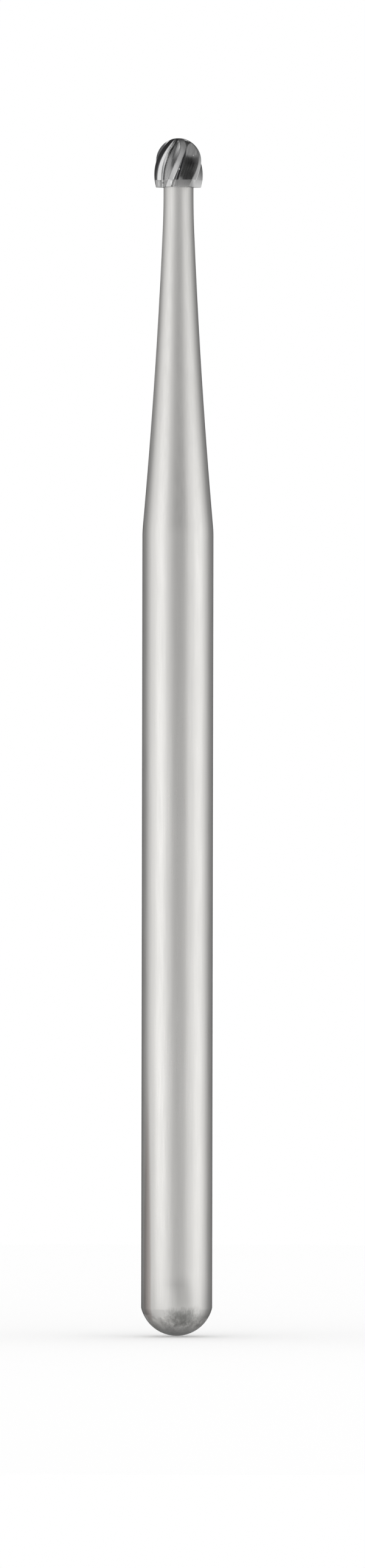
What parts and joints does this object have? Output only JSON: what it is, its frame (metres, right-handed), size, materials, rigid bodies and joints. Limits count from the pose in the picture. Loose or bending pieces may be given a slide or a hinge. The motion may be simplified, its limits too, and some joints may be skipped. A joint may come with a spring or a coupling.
{
  "type": "carbide burr",
  "caption": "Slim rotary cutting burr: a small round fluted carbide head with a flat underside on a long tapered neck and plain ground shank with a domed end.",
  "frame": {"origin": "lowest point of the shank's domed end, on the axis", "axes": "+Z along the axis from the domed end to the head; -Y is the side the picture shows; right-hand frame"},
  "size_m": [0.0016, 0.0016, 0.0269],
  "materials": {
    "steel": "ground satin stainless steel",
    "carbide": "ground tungsten carbide, satin, darker than the shank"
  },
  "bodies": {
    "root": {"cutting_head": "carbide", "shank": "steel"}
  },
  "joints": []
}
